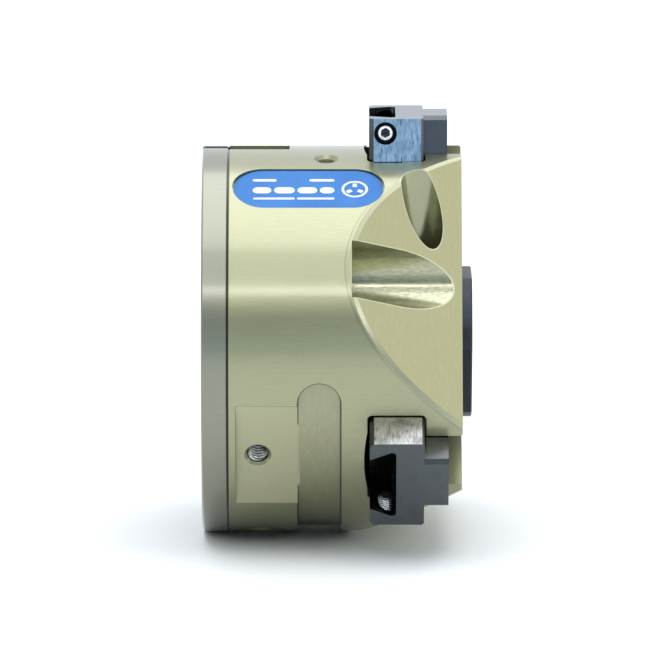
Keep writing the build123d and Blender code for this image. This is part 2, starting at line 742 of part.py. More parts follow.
# --- Output ----------------------------------------------------------------------------------


def write(name, pieces):
    """Writes one node's solids, laid in the row frame."""
    pieces = pieces if isinstance(pieces, list) else [pieces]
    solids = [solid.moved(ROW_FRAME.location) for piece in pieces for solid in piece.solids()]
    shape = solids[0] if len(solids) == 1 else Compound(children=solids)
    export_step(shape, f"parts/{name}.step")


def main():
    os.makedirs("parts", exist_ok=True)
    write("housing", housing())
    write("rear_cover", rear_cover())
    write("cover_oring", cover_oring())
    write("cover_screws", cover_screws())
    write("cover_dowels", dowel_tools(0))
    write("direct_port_screws", direct_port_screws())
    write("passage_plugs", passage_plugs())
    write("name_plate", name_plate())
    write("centre_plate", centre_plate())
    write("centre_plate_screws", centre_plate_screws())
    write("rod_seal", rod_seal())
    write("rear_bumper", bumper((SPIGOT_END, SPIGOT_END + BUMPER_T)))
    write("front_bumper", bumper((CHAMBER_END - BUMPER_T, CHAMBER_END)))
    write("piston", piston())
    write("piston_seal", piston_seal())
    write("piston_guide_ring", piston_guide_ring())
    write("wedge_hook", wedge_hook())
    write("hook_screw", hook_screw())
    for number, angle in enumerate(JAW_ANGLES, 1):
        write(f"jaw_{number}", sector(angle) * base_jaw())
        write(f"jaw_{number}_set_screw", sector(angle) * set_screw())


main()
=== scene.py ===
import math

import bmesh
import bpy
from mathutils import Matrix, Vector


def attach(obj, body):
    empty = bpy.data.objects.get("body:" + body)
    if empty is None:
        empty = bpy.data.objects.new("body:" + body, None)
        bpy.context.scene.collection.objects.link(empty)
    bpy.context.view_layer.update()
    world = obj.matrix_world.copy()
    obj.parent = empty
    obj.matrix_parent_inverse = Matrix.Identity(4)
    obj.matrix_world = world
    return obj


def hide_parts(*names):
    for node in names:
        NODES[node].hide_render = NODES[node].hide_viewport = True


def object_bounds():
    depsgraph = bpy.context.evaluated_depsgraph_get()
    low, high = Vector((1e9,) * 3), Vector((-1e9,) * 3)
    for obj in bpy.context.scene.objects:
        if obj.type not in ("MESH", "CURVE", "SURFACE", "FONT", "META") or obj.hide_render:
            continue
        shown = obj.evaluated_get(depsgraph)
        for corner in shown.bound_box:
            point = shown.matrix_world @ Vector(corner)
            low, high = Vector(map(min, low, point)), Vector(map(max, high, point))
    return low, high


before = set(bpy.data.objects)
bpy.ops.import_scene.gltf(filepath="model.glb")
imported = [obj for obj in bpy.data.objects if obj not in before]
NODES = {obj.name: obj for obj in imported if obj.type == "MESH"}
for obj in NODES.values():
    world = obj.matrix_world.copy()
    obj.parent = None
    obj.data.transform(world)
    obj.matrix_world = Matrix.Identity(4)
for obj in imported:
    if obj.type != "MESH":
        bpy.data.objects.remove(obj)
CAD_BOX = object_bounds()

# The gripper's axis is the row's X axis. Directions round it are angles in the YZ plane,
# measured from +Y towards +Z, the same as in the CAD source. Lengths are in metres.
MM = 0.001
X_AXIS = (1, 0, 0)
JAW_ANGLES = (90, 210, 330)
FACET_ANGLES = (150, 270, 30)

# Sizes of the CAD parts, which the finishes and the detailed pieces are placed by
BODY_R = 37.5 * MM
COVER_T = 5 * MM
FRONT_X = 50 * MM
FACET_TILT = math.radians(30)
FACET_FRONT_R = 25.2 * MM
EDGE_BREAK = 0.5 * MM
TROUGH_CIRCLE_R = 32 * MM
TROUGH_R = 5.8 * MM
SENSOR_R = 4 * MM
SENSOR_SIDE = 17.5 * MM
SENSOR_X = 42.3 * MM
GROOVE_X = (18.4 * MM, 26.7 * MM)
GROOVE_FLOOR_R = 36.3 * MM
GROOVE_START = 184.5

# Air ports: angle, place along the axis, and how far from the axis the face lies
PORTS = {"a": (210, 10.8 * MM, 35.5 * MM), "b": (257, 11.1 * MM, 35.9 * MM)}
PORT_CHAMFER = 0.5 * MM
PORT_FLAT_X = 6.5 * MM
PORT_FLAT_HALF = 12.0 * MM

# Base jaws
JAW_END_R = 44.35 * MM
FLANGE_HALF = 10 * MM
FLANK_X = (33.05 * MM, 42.18 * MM)
FLANGE_FRONT = 42.6 * MM
NECK_HALF = 5.8 * MM
CAM_FLOOR_HALF = 8.25 * MM
CAM_FLOOR_X = 37.25 * MM
SET_SCREW_X = 35.3 * MM
SET_SCREW_R = 41.5 * MM
SET_SCREW_TIP = 4.9 * MM
SET_SCREW_LENGTH = 4.2 * MM
SET_SCREW_RECESS_R = 2.2 * MM
FINGER_RADII = (27 * MM, 39 * MM)
SLEEVE_FLOOR_X = 45.6 * MM

# Name plate: its angle, the middle of its length and its surface
PLATE_ANGLE = 120
PLATE_X = 20.475 * MM
PLATE_R = 36.8 * MM

# A point this far out along a direction lies on that side of the axis
SAME_SIDE = 5 * MM
# How deep below the cylinder a point still counts as on it
SKIN = 0.1 * MM


def outward(angle):
    """The unit vector away from the axis at that angle."""
    turn = math.radians(angle)
    return Vector((0, math.cos(turn), math.sin(turn)))


def sideways(angle):
    """The unit vector round the axis, towards larger angles."""
    return outward(angle + 90)


# --- Material building -----------------------------------------------------------------------


class Nodes:
    """A node tree, and short calls that add nodes to it."""

    def __init__(self, tree):
        self.tree = tree
        self.coordinates = self.add("ShaderNodeTexCoord")

    def add(self, kind, **settings):
        node = self.tree.nodes.new(kind)
        for key, value in settings.items():
            setattr(node, key, value)
        return node

    def link(self, source, target):
        self.tree.links.new(source, target)

    def feed(self, socket, value):
        """Sets a socket to a number or colour, or links it to another socket."""
        if isinstance(value, bpy.types.NodeSocket):
            self.link(value, socket)
        else:
            socket.default_value = value

    def math(self, operation, a, b=0.0):
        node = self.add("ShaderNodeMath", operation=operation)
        for socket, value in zip(node.inputs, (a, b)):
            self.feed(socket, value)
        return node.outputs[0]

    def both(self, *masks):
        """1 where all the masks are 1: their product."""
        product = masks[0]
        for mask in masks[1:]:
            product = self.math("MULTIPLY", product, mask)
        return product

    def either(self, a, b):
        """1 where one of the masks is 1: the larger of the two."""
        return self.math("MAXIMUM", a, b)

    def flip(self, mask):
        return self.math("SUBTRACT", 1.0, mask)

    def above(self, value, limit):
        return self.math("GREATER_THAN", value, limit)

    def below(self, value, limit):
        return self.math("LESS_THAN", value, limit)

    def less(self, value, amount):
        return self.math("SUBTRACT", value, amount)

    def dot(self, a, direction):
        node = self.add("ShaderNodeVectorMath", operation="DOT_PRODUCT")
        self.link(a, node.inputs[0])
        node.inputs[1].default_value = direction
        return node.outputs["Value"]

    def ramp(self, value, low, high, out_low=0.0, out_high=1.0):
        """Maps low..high onto out_low..out_high, clamped."""
        node = self.add("ShaderNodeMapRange")
        self.feed(node.inputs["Value"], value)
        for name, number in (
            ("From Min", low),
            ("From Max", high),
            ("To Min", out_low),
            ("To Max", out_high),
        ):
            node.inputs[name].default_value = number
        return node.outputs["Result"]

    def mix(self, factor, a, b):
        """A colour between a and b."""
        node = self.add("ShaderNodeMix", data_type="RGBA")
        self.feed(node.inputs["Factor"], factor)
        self.feed(node.inputs["A"], a)
        self.feed(node.inputs["B"], b)
        return node.outputs["Result"]

    def lay(self, tone, over, mask, amount):
        """The tone, covered by another colour to that amount where the mask is 1."""
        return self.mix(self.math("MULTIPLY", mask, amount), tone, over)

    def length(self, a, b):
        """The length of a vector with these two parts."""
        squares = [self.math("MULTIPLY", part, part) for part in (a, b)]
        return self.math("SQRT", self.math("ADD", *squares))

    def blend(self, factor, a, b):
        """A number between a and b."""
        node = self.add("ShaderNodeMix", data_type="FLOAT")
        self.feed(node.inputs["Factor"], factor)
        self.feed(node.inputs["A"], a)
        self.feed(node.inputs["B"], b)
        return node.outputs["Result"]

    def between(self, value, low, high):
        """1 where low < value < high, else 0."""
        return self.both(self.above(value, low), self.below(value, high))


class Shader(Nodes):
    """A node material with one Principled BSDF."""

    def __init__(self, name):
        self.material = bpy.data.materials.new(name)
        self.material.use_nodes = True
        super().__init__(self.material.node_tree)
        self.bsdf = self.tree.nodes["Principled BSDF"]
        self.place = self.coordinates.outputs["Object"]
        self.normal = self.coordinates.outputs["Normal"]

    def noise(self, scale, stretch=(1, 1, 1), detail=3.0, roughness=0.5, seed=0.0):
        """A noise value from 0 to 1, with a scale along each axis."""
        mapping = self.add("ShaderNodeMapping")
        self.link(self.place, mapping.inputs["Vector"])
        mapping.inputs["Scale"].default_value = stretch
        mapping.inputs["Location"].default_value = (seed, seed * 0.7, seed * 0.3)
        node = self.add("ShaderNodeTexNoise")
        self.link(mapping.outputs[0], node.inputs["Vector"])
        node.inputs["Scale"].default_value = scale
        node.inputs["Detail"].default_value = detail
        node.inputs["Roughness"].default_value = roughness
        return node.outputs["Fac"]

    def on_plane(self, normal, distance):
        """1 on the face with that normal at that distance from the origin, else 0."""
        facing = self.above(self.dot(self.normal, normal), 0.995)
        height = self.less(self.dot(self.place, normal), distance)
        near = self.below(self.math("ABSOLUTE", height), 0.06 * MM)
        return self.both(facing, near)

    def finish(self, colour, roughness, metallic=1.0, bump=None, strength=0.1, depth=0.02, edge=0.0):
        """Connects the surface values. edge is the radius in mm that the render rounds edges to."""
        self.feed(self.bsdf.inputs["Base Color"], colour)
        self.feed(self.bsdf.inputs["Roughness"], roughness)
        self.bsdf.inputs["Metallic"].default_value = metallic
        normal = None
        if edge:
            bevel = self.add("ShaderNodeBevel", samples=6)
            bevel.inputs["Radius"].default_value = edge * MM
            normal = bevel.outputs[0]
        if bump is not None:
            node = self.add("ShaderNodeBump")
            node.inputs["Strength"].default_value = strength
            node.inputs["Distance"].default_value = depth * MM
            self.link(bump, node.inputs["Height"])
            if normal:
                self.link(normal, node.inputs["Normal"])
            normal = node.outputs[0]
        if normal:
            self.link(normal, self.bsdf.inputs["Normal"])
        return self.material


def colour(red, green, blue):
    """A linear RGBA colour from 0..255 display values."""
    linear = []
    for value in (red, green, blue):
        part = value / 255
        linear.append(part / 12.92 if part <= 0.04045 else ((part + 0.055) / 1.055) ** 2.4)
    return (*linear, 1.0)


# --- Materials -------------------------------------------------------------------------------


def anodised(name, base, dark, light, details=False):
    """Hard-anodised aluminium with short fine streaks along the gripper's axis."""
    s = Shader(name)
    streaks = s.noise(1.0, (110, 7000, 7000), 2.0, 0.6)
    fine = s.noise(1.0, (500, 9000, 9000), 2.0, 0.6, seed=3.0)
    cloud = s.noise(55.0, detail=3.0, seed=7.0)
    tone = s.mix(s.ramp(streaks, 0.25, 0.75, 0.4, 0.85), dark, base)
    tone = s.mix(s.ramp(fine, 0.55, 0.75, 0.0, 0.3), tone, light)
    tone = s.mix(s.ramp(cloud, 0.5, 0.75, 0.0, 0.3), tone, dark)
    roughness = s.ramp(streaks, 0.25, 0.75, 0.28, 0.37)
    height = s.math("ADD", s.math("MULTIPLY", fine, 0.6), streaks)
    from_seam = s.math("ABSOLUTE", s.less(s.dot(s.place, X_AXIS), COVER_T))
    tone = s.lay(tone, SEAM_DARK, s.below(from_seam, 0.2 * MM), 0.8)
    s.bsdf.inputs["Coat Weight"].default_value = 1.0
    s.bsdf.inputs["Coat Roughness"].default_value = 0.17
    s.bsdf.inputs["Coat IOR"].default_value = 1.62
    if details:
        tone, roughness, height = housing_details(s, tone, roughness, height, base, dark, light)
    return s.finish(tone, roughness, 0.8, height, 0.09, 0.012, edge=0.07)


SEAM_DARK = colour(50, 52, 42)
FACET_BASE = colour(159, 156, 103)
FACET_DARK = colour(144, 142, 92)
TROUGH_DARK = colour(92, 90, 62)
GROOVE_SPECK = colour(112, 112, 84)
GROOVE_EDGE_SHADE = colour(40, 40, 28)
FLAT_EDGE_SHADE = colour(80, 76, 50)


def facet_masks(s, from_axis):
    """The facets; their edge breaks, the troughs' walls and the troughs' rims, which get painted
    highlights; and the lines beside the edge breaks, which get painted shade.
    """
    facet = edge_break = edge_shade_line = trough = rim = 0.0
    below_rim = s.between(from_axis, 34 * MM, BODY_R - 0.03 * MM)
    cylinder = s.above(from_axis, BODY_R - SKIN)
    for angle in FACET_ANGLES:
        normal = Vector((math.sin(FACET_TILT), 0, 0)) + math.cos(FACET_TILT) * outward(angle)
        distance = normal.x * FRONT_X + math.cos(FACET_TILT) * FACET_FRONT_R
        depth = s.less(s.dot(s.place, normal), distance)
        face = s.on_plane(normal, distance)
        facet = s.either(facet, face)
        tilted = s.between(s.dot(s.normal, normal), 0.8, 0.999)
        strip = s.both(s.between(depth, -EDGE_BREAK, -0.02 * MM), below_rim, tilted)
        edge_break = s.either(edge_break, strip)
        # A thin band on the cylinder just beyond the edge break, for a line of painted shade
        line = s.between(depth, -EDGE_BREAK - 0.18 * MM, -EDGE_BREAK)
        edge_shade_line = s.either(edge_shade_line, s.both(line, cylinder))
        out = s.dot(s.place, outward(angle))
        inward = s.math("MINIMUM", s.less(out, TROUGH_CIRCLE_R), 0.0)
        reach = s.length(inward, s.dot(s.place, sideways(angle)))
        # The ring round each trough's mouth gets a painted highlight, standing in for an unmodelled
        # chamfer
        ring = s.between(reach, TROUGH_R - 0.05 * MM, TROUGH_R + 0.16 * MM)
        rim = s.either(rim, s.both(face, ring))
        wall = s.between(reach, TROUGH_R - 0.2 * MM, TROUGH_R + 0.03 * MM)
        wall = s.both(wall, s.flip(cylinder), s.flip(face), s.above(out, SAME_SIDE))
        trough = s.either(trough, wall)
    return facet, edge_break, edge_shade_line, trough, rim


def sensor_masks(s, x, from_axis, facet):
    """The walls of the bores beside the jaws, and the rims of their mouths, which get a painted
    highlight.
    """
    hole = rim = 0.0
    cylinder = s.above(from_axis, BODY_R - SKIN)
    for angle in JAW_ANGLES:
        reach = s.length(s.less(x, SENSOR_X), s.less(s.dot(s.place, sideways(angle)), SENSOR_SIDE))
        same_side = s.above(s.dot(s.place, outward(angle)), SAME_SIDE)
        wall = s.between(reach, SENSOR_R - 0.2 * MM, SENSOR_R + 0.03 * MM)
        hole = s.either(hole, s.both(wall, s.flip(s.either(facet, cylinder)), same_side))
        # The ring round each bore's mouth gets a painted highlight, standing in for an unmodelled
        # chamfer
        on_facet = s.both(facet, s.between(reach, SENSOR_R - SKIN, SENSOR_R + 0.1 * MM))
        on_cylinder = s.both(cylinder, s.between(reach, SENSOR_R - SKIN, SENSOR_R + 0.35 * MM))
        rim = s.either(rim, s.both(s.either(on_facet, on_cylinder), same_side))
    return hole, rim


def groove_masks(s, x, from_axis, port_flat):
    """The floor of the groove round the lower side, and a thin band along its outline that gets painted
    shade.
    """
    low, high = GROOVE_X
    half = (high - low) / 2
    lower_side = s.below(s.dot(s.place, (0, 0, 1)), SAME_SIDE)
    floor = s.between(from_axis, GROOVE_FLOOR_R - SKIN, GROOVE_FLOOR_R + SKIN)
    floor = s.both(floor, s.between(x, low + SKIN, high - SKIN), lower_side)
    end_angle = GROOVE_START + math.degrees(half / BODY_R)
    past_end = s.math("MINIMUM", s.dot(s.place, sideways(end_angle)), 0.0)
    reach = s.length(s.less(x, (low + high) / 2), past_end)
    # A thin band along the groove's edges, for painted shade
    outline = s.both(s.between(reach, half - 0.2 * MM, half + 0.15 * MM), lower_side)
    outline = s.both(outline, s.above(from_axis, GROOVE_FLOOR_R - SKIN), s.flip(port_flat))
    return floor, outline


def flat_edge_shade(s, x, port_flat):
    """The edges of the air port's flat, where painted shade goes."""
    across = s.math("ABSOLUTE", s.dot(s.place, sideways(PORTS["a"][0])))
    side = s.above(across, PORT_FLAT_HALF - 0.1 * MM)
    return s.both(s.either(side, s.below(x, PORT_FLAT_X + 0.14 * MM)), port_flat)


def housing_details(s, tone, roughness, height, base, dark, light):
    """Adds the finish of the milled flats, edge breaks, groove and bores to the turned surface, with
    painted highlights on the edge breaks, rims and trough walls, and painted shade along the groove's
    and the port flat's edges and beside the edge breaks.
    """
    x, y, z = (s.dot(s.place, axis) for axis in (X_AXIS, (0, 1, 0), (0, 0, 1)))
    from_axis = s.length(y, z)
    port_flat = s.on_plane(outward(PORTS["a"][0]), PORTS["a"][2])
    facet, edge_break, edge_shade_line, trough, trough_rim = facet_masks(s, from_axis)
    hole, hole_rim = sensor_masks(s, x, from_axis, facet)
    groove, groove_edge_shade = groove_masks(s, x, from_axis, port_flat)
    flat = s.either(facet, port_flat)
    painted_edge_highlight = s.either(edge_break, s.either(trough_rim, hole_rim))

    grain = s.noise(5200.0, detail=2.0, seed=11.0)
    swirl = s.noise(1.0, (2600, 420, 420), 3.0, 0.6, seed=19.0)
    ring_marks = s.noise(1.0, (300, 300, 3800), 2.0, 0.6, seed=23.0)
    cut_marks = s.noise(1.0, (900, 3600, 3600), 3.0, 0.6, seed=29.0)

    milled = s.mix(s.ramp(grain, 0.3, 0.7, 0.45, 0.75), FACET_DARK, FACET_BASE)
    milled = s.mix(s.ramp(swirl, 0.5, 0.8, 0.0, 0.22), milled, light)
    tone = s.mix(flat, tone, milled)
    tone = s.lay(tone, light, port_flat, 0.7)
    groove_tone = s.mix(s.ramp(swirl, 0.35, 0.7, 0.2, 0.8), dark, base)
    groove_tone = s.mix(s.ramp(grain, 0.55, 0.7, 0.0, 0.35), groove_tone, GROOVE_SPECK)
    tone = s.lay(tone, groove_tone, groove, 0.85)
    tone = s.lay(tone, dark, hole, s.ramp(ring_marks, 0.4, 0.65, 0.15, 0.8))
    # Painted shade along the groove's edges
    tone = s.lay(tone, GROOVE_EDGE_SHADE, groove_edge_shade, 0.9)
    # Painted shade along the air port flat's edges
    tone = s.lay(tone, FLAT_EDGE_SHADE, flat_edge_shade(s, x, port_flat), 0.4)
    # Painted highlight: the troughs' walls are lightened; the darker cut marks laid on them next are
    # machining marks
    tone = s.lay(tone, light, trough, 0.75)
    tone = s.lay(tone, light, hole, 0.15)
    tone = s.lay(tone, TROUGH_DARK, trough, s.ramp(cut_marks, 0.35, 0.7, 0.0, 0.55))
    # Painted shade: a thin dark line just beyond each facet's edge break
    tone = s.lay(tone, TROUGH_DARK, edge_shade_line, 0.35)
    # Painted highlight: edge breaks and the rims of the troughs and bores are lightened as if catching
    # the light
    tone = s.lay(tone, light, painted_edge_highlight, s.ramp(grain, 0.2, 0.6, 0.45, 0.9))

    roughness = s.blend(flat, roughness, 0.5)
    roughness = s.blend(groove, roughness, 0.42)
    roughness = s.blend(s.either(trough, hole), roughness, 0.24)
    roughness = s.blend(painted_edge_highlight, roughness, 0.34)

    quiet = s.flip(s.math("MULTIPLY", s.either(flat, groove), 0.8))
    height = s.math("MULTIPLY", height, quiet)
    for mask, marks, amount in ((groove, swirl, 1.2), (hole, ring_marks, 1.5), (trough, cut_marks, 2.5)):
        height = s.math("ADD", height, s.math("MULTIPLY", s.both(mask, marks), amount))
    return tone, roughness, height


# All jaws are one steel; jaw 1 differs from the others only by painted light: its ground flanks and its
# neck carry a painted blue reflection, darker on the neck. The numbers say how far the inside of the cam
# groove is darkened with painted shade and the outer end is lightened with a painted highlight. Each
# flank has a light and a dark tone, one for its scratches and one for its stains.
FLANK_BLUE_REFLECTION = (colour(142, 170, 196), colour(108, 138, 166), colour(44, 58, 78), colour(86, 112, 138))
FLANK_GREY = (colour(170, 170, 166), colour(132, 133, 131), colour(60, 60, 60), colour(100, 101, 100))
FIRST_JAW_PAINTED_LIGHT = {"flank": FLANK_BLUE_REFLECTION, "neck": colour(58, 68, 84), "inside": 0.15, "end": 0.7}
OTHER_JAWS_PAINTED_LIGHT = {"flank": FLANK_GREY, "neck": colour(92, 93, 94), "inside": 0.6, "end": 0.0}
JAW_DARK = (colour(80, 84, 86), colour(98, 103, 104), colour(70, 75, 78))
# Painted shade inside the cam groove
JAW_INSIDE_SHADE = colour(46, 48, 51)
# Painted highlight for jaw 1's outer end
JAW_END = colour(150, 156, 162)
# Near-black painted shade in the set screw's recess
JAW_RECESS_SHADE = colour(18, 19, 21)


def jaw_steel(number):
    """Dark hardened steel, with ground flanks on the flange of that jaw, and painted light: a reflection
    tone on flanks and neck, painted shade in the cam groove and the set screw's recess, and on jaw 1 a
    painted highlight on the outer end.
    """
    look = FIRST_JAW_PAINTED_LIGHT if number == 1 else OTHER_JAWS_PAINTED_LIGHT
    s = Shader(f"jaw_steel_{number}")
    along = outward(JAW_ANGLES[number - 1])
    side = s.math("ABSOLUTE", s.dot(s.place, sideways(JAW_ANGLES[number - 1])))
    reach = s.dot(s.place, along)
    x = s.dot(s.place, X_AXIS)
    flank = s.both(s.above(side, FLANGE_HALF - 0.03 * MM), s.between(x, *FLANK_X))
    neck = s.both(s.above(side, NECK_HALF - 0.03 * MM), s.above(x, FLANGE_FRONT + 0.1 * MM))
    from_screw = s.length(s.less(x, SET_SCREW_X), s.less(reach, SET_SCREW_R))
    # Painted shade: the recess round the set screw
    pit = s.both(
        s.below(from_screw, SET_SCREW_RECESS_R + 0.02 * MM),
        s.below(side, FLANGE_HALF - 0.04 * MM),
    )
    # Painted shade inside the cam groove
    inside = s.both(s.below(side, CAM_FLOOR_HALF - 0.01 * MM), s.below(x, CAM_FLOOR_X + 0.05 * MM))
    inside = s.both(inside, s.below(reach, JAW_END_R - 0.02 * MM))
    end_face = s.on_plane(along, JAW_END_R)

    marks = s.noise(1.0, tuple(500 if abs(c) > 0.4 else 2600 for c in along), 3.0, 0.6, seed=number)
    blot = s.noise(300.0, detail=3.0, seed=number + 5.0)
    grain = s.noise(4200.0, detail=2.0, seed=number + 9.0)
    dark = s.mix(s.ramp(grain, 0.3, 0.7, 0.3, 0.7), JAW_DARK[0], JAW_DARK[1])
    dark = s.mix(s.ramp(blot, 0.5, 0.8, 0.0, 0.5), dark, JAW_DARK[2])
    light, shade, scratch, stain = look["flank"]
    bright = s.mix(s.ramp(marks, 0.35, 0.65), light, shade)
    bright = s.mix(s.ramp(marks, 0.62, 0.68, 0.0, 0.6), bright, scratch)
    bright = s.mix(s.ramp(blot, 0.5, 0.7, 0.0, 0.7), bright, stain)

    tone = s.mix(flank, dark, bright)
    # Painted light per jaw: the neck's reflection tone, shade in the cam groove, jaw 1's highlight on
    # its outer end, and the screw recess's shade
    tone = s.lay(tone, look["neck"], neck, 0.6)
    tone = s.lay(tone, JAW_INSIDE_SHADE, inside, look["inside"])
    tone = s.lay(tone, JAW_END, end_face, look["end"])
    tone = s.mix(pit, tone, JAW_RECESS_SHADE)
    roughness = s.blend(flank, s.ramp(grain, 0.2, 0.8, 0.24, 0.36), s.ramp(marks, 0.2, 0.8, 0.2, 0.3))
    roughness = s.blend(s.either(neck, end_face), roughness, 0.24)
    return s.finish(tone, roughness, 1.0, s.math("ADD", marks, grain), 0.1, 0.01, edge=0.12)


def steel(name, base, dark, edge=0.1):
    """Plain machined steel with fine grain."""
    s = Shader(name)
    grain = s.noise(2600.0, detail=3.0)
    cloud = s.noise(260.0, detail=2.0, seed=4.0)
    tone = s.mix(s.ramp(cloud, 0.35, 0.7), base, dark)
    return s.finish(tone, s.ramp(grain, 0.2, 0.8, 0.25, 0.4), 1.0, grain, 0.1, 0.01, edge=edge)


def turned(name, base, dark, pitch=0.25):
    """Turned metal with rings round the gripper's axis, pitch millimetres apart."""
    s = Shader(name)
    rings = s.add("ShaderNodeTexWave", wave_type="RINGS", rings_direction="X")
    s.link(s.place, rings.inputs["Vector"])
    rings.inputs["Scale"].default_value = 0.314 / (pitch * MM)
    rings.inputs["Distortion"].default_value = 0.3
    grain = s.noise(2400.0, detail=2.0)
    tone = s.mix(rings.outputs["Fac"], base, dark)
    roughness = s.ramp(grain, 0.2, 0.8, 0.25, 0.4)
    return s.finish(tone, roughness, 1.0, rings.outputs["Fac"], 0.15, 0.01, edge=0.15)


def thread_shader(name, x, out, side):
    """A steel material, and the distance from a hole's axis at x, that far out along side."""
    s = Shader(name)
    reach = s.length(s.less(s.dot(s.place, X_AXIS), x), s.less(s.dot(s.place, side), out))
    grain = s.noise(3200.0, detail=2.0)
    return s, reach, grain, s.ramp(grain, 0.2, 0.8, 0.22, 0.34)


def port_thread_metal(name, x, angle):
    """The bare thread of an air port, with painted shade in its roots."""
    s, reach, grain, roughness = thread_shader(name, x, 0.0, sideways(angle))
    # Painted shade in the thread's roots
    tone = s.mix(s.ramp(reach, 1.7 * MM, 1.98 * MM), colour(232, 233, 220), colour(34, 34, 28))
    return s.finish(tone, roughness, 1.0, grain, 0.1, 0.01)


def set_screw_steel(name, angle):
    """A set screw's steel, with painted shade in its thread roots and socket and a painted highlight on
    its top face.
    """
    s, reach, grain, roughness = thread_shader(name, SET_SCREW_X, SET_SCREW_R, outward(angle))
    height = s.less(s.dot(s.place, sideways(angle)), SET_SCREW_TIP)
    # Painted shade in the thread roots, painted highlight on the top face, painted shade in the socket
    tone = s.mix(s.ramp(reach, 1.24 * MM, 1.42 * MM), colour(58, 61, 66), colour(178, 182, 185))
    tone = s.mix(s.above(height, SET_SCREW_LENGTH - 0.25 * MM), tone, colour(232, 236, 238))
    tip = s.both(s.below(height, 0.3 * MM), s.below(reach, 1.2 * MM))
    tone = s.mix(tip, tone, colour(128, 131, 134))
    socket = s.both(s.above(height, SET_SCREW_LENGTH / 2), s.below(reach, 0.86 * MM))
    tone = s.mix(socket, tone, colour(58, 60, 64))
    return s.finish(tone, roughness, 1.0, grain, 0.1, 0.01)


def blackened(name):
    """Black oxide on steel, satin, with faint rubbed patches."""
    s = Shader(name)
    grain = s.noise(3000.0, detail=3.0)
    rubbed = s.noise(160.0, detail=4.0, seed=2.0)
    tone = s.mix(s.ramp(rubbed, 0.45, 0.8, 0.0, 0.35), colour(62, 66, 72), colour(84, 88, 94))
    return s.finish(tone, s.ramp(grain, 0.2, 0.8, 0.34, 0.48), 1.0, grain, 0.1, 0.01, edge=0.2)


def printed(name, base, dark, roughness=0.35):
    """Printed foil: an even colour with a faint orange-peel surface."""
    s = Shader(name)
    peel = s.noise(900.0, detail=2.0)
    fade = s.noise(120.0, detail=2.0, seed=5.0)
    tone = s.mix(s.ramp(fade, 0.35, 0.7), base, dark)
    s.bsdf.inputs["Specular IOR Level"].default_value = 0.3
    return s.finish(tone, s.ramp(peel, 0.2, 0.8, roughness, roughness + 0.1), 0.0, peel, 0.05, 0.01)


def soft(name, base, dark, roughness=0.6):
    """Rubber or plastic with a fine moulded grain."""
    s = Shader(name)
    grain = s.noise(2000.0, detail=3.0)
    tone = s.mix(grain, base, dark)
    roughness = s.ramp(grain, 0.2, 0.8, roughness, roughness + 0.15)
    return s.finish(tone, roughness, 0.0, grain, 0.15, 0.01, edge=0.1)


def paint(obj, material):
    """Gives every material slot of the object that material."""
    if not obj.data.materials:
        obj.data.materials.append(material)
    for slot in obj.material_slots:
        slot.material = material


# Base, dark and light tones of each anodised finish
OLIVE = (colour(160, 160, 123), colour(142, 142, 107), colour(188, 188, 154))
GREYER = (colour(138, 139, 120), colour(122, 123, 105), colour(158, 159, 140))
SCREW_STEEL = steel("screw_steel", colour(168, 172, 176), colour(120, 124, 128))
RUBBER = soft("seal_rubber", colour(24, 24, 25), colour(14, 14, 15))

paint(NODES["housing"], anodised("housing_anodised", *OLIVE, details=True))
paint(NODES["rear_cover"], anodised("cover_anodised", *GREYER))
for number in (1, 2, 3):
    paint(NODES[f"jaw_{number}"], jaw_steel(number))
    paint(NODES[f"jaw_{number}_set_screw"], SCREW_STEEL)
for node in ("cover_screws", "direct_port_screws", "centre_plate_screws", "hook_screw"):
    paint(NODES[node], SCREW_STEEL)
for node in ("cover_oring", "rod_seal", "rear_bumper", "front_bumper", "piston_seal"):
    paint(NODES[node], RUBBER)
paint(NODES["cover_dowels"], steel("dowel_steel", colour(190, 193, 196), colour(165, 168, 172)))
paint(NODES["wedge_hook"], steel("hook_steel", colour(150, 153, 156), colour(118, 121, 124)))
paint(NODES["passage_plugs"], steel("plug_metal", colour(208, 207, 196), colour(186, 185, 172)))
paint(NODES["piston"], turned("piston_turned", colour(200, 201, 200), colour(168, 170, 170)))
paint(NODES["piston_guide_ring"], soft("guide_plastic", colour(176, 160, 122), colour(150, 134, 98)))
paint(NODES["centre_plate"], blackened("centre_plate_black"))
paint(NODES["name_plate"], printed("plate_blue", colour(42, 128, 206), colour(32, 116, 196)))


# --- Detailed pieces -------------------------------------------------------------------------


SEGMENTS = 48
STEPS_PER_TURN = 12


def on_axis(x):
    """The point on the gripper's axis at that place along it."""
    return Vector((x, 0, 0))


def frame_at(place, axis, side):
    """The matrix whose Z axis is the given axis, X axis the given side, at that place."""
    z = Vector(axis).normalized()
    x = Vector(side).normalized()
    return Matrix.Translation(place) @ Matrix((x, z.cross(x), z)).transposed().to_4x4()


def add_piece(name, build, matrix, body, material, smooth=40):
    """Makes a mesh piece with a builder that fills a bmesh in millimetres."""
    bm = bmesh.new()
    build(bm)
    bmesh.ops.scale(bm, vec=(MM, MM, MM), verts=bm.verts)
    bmesh.ops.transform(bm, matrix=matrix, verts=bm.verts)
    bmesh.ops.recalc_face_normals(bm, faces=bm.faces)
    mesh = bpy.data.meshes.new(name)
    bm.to_mesh(mesh)
    bm.free()
    mesh.shade_smooth()
    mesh.set_sharp_from_angle(angle=math.radians(smooth))
    piece = bpy.data.objects.new(name, mesh)
    bpy.context.scene.collection.objects.link(piece)
    paint(piece, material)
    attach(piece, body)
    return piece


